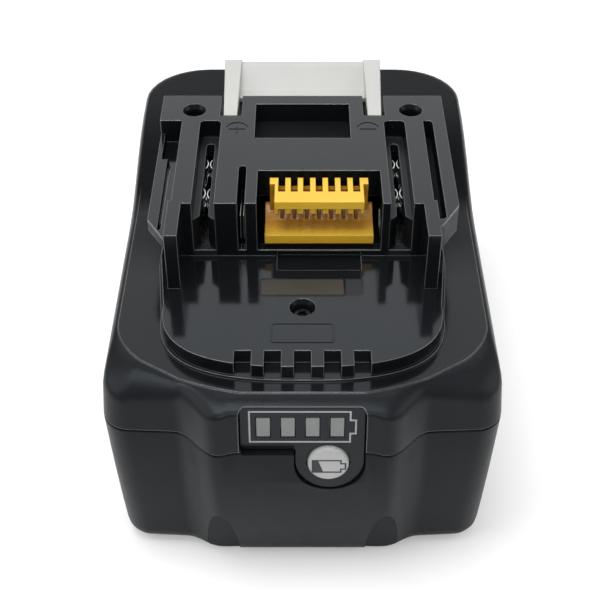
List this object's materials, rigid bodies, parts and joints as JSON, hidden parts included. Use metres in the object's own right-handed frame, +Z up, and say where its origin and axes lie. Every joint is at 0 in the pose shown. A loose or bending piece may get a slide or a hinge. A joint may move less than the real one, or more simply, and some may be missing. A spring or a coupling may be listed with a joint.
{
  "type": "power tool battery pack",
  "caption": "Slide-on rechargeable battery pack for cordless power tools, with a railed slide platform, a sprung latch and a charge gauge with a check button.",
  "frame": {"origin": "centre of the pack's bounding box, on the flat bottom it stands on", "axes": "+X to the right seen from the gauge end, +Y from the gauge end to the latch end, +Z up through the slide platform"},
  "size_m": [0.075, 0.113, 0.0655],
  "materials": {
    "shell": "satin moulded black",
    "latch": "fine satin",
    "spring": "bright wire",
    "connector": "satin yellow",
    "contact_metal": "plated, bright",
    "panel": "fine matt",
    "lens": "frosted grey",
    "button": "matt light grey",
    "board": "solder mask",
    "lamp": "clear resin",
    "component": "moulded package",
    "lead": "amber film",
    "carrier": "moulded",
    "screw": "zinc plated",
    "holder": "moulded",
    "insulator": "fibre paper",
    "nickel": "bright strip",
    "cell_wrap": "shrink film"
  },
  "bodies": {
    "case": {"lower_case": "shell", "upper_case": "shell", "latch_spring_left": "spring", "latch_spring_right": "spring", "connector_housing": "connector", "connector_contacts": "contact_metal", "terminal_positive": "contact_metal", "terminal_negative": "contact_metal", "terminal_charge": "contact_metal", "gauge_panel": "panel", "gauge_lens": "lens", "gauge_board": "board", "gauge_lamps": "lamp", "check_switch": "component", "gauge_lead": "lead", "main_board": "board", "board_parts": "component", "board_carrier": "carrier", "case_screws": "screw", "cell_holder_left": "holder", "cell_holder_right": "holder", "insulator_left": "insulator", "insulator_right": "insulator", "bus_strip_1": "nickel", "bus_strip_2": "nickel", "bus_strip_3": "nickel", "bus_strip_4": "nickel", "bus_strip_5": "nickel", "bus_strip_6": "nickel", "cell_1": "cell_wrap", "cell_2": "cell_wrap", "cell_3": "cell_wrap", "cell_4": "cell_wrap", "cell_5": "cell_wrap", "cell_6": "cell_wrap", "cell_7": "cell_wrap", "cell_8": "cell_wrap", "cell_9": "cell_wrap", "cell_10": "cell_wrap"},
    "latch": {"latch": "latch"},
    "check_button": {"check_button": "button"}
  },
  "joints": [
    {"name": "latch_slide", "type": "slide", "parent": "case", "child": "latch", "axis": [0, 0, -1], "range_m": [0, 0.0045], "stiffness_N_per_m": 600, "springref_m": -0.004, "deforming": ["latch_spring_left", "latch_spring_right"]},
    {"name": "check_button_press", "type": "slide", "parent": "case", "child": "check_button", "axis": [0, 0.9925, -0.1219], "range_m": [0, 0.0006], "stiffness_N_per_m": 1500, "springref_m": -0.0003}
  ]
}
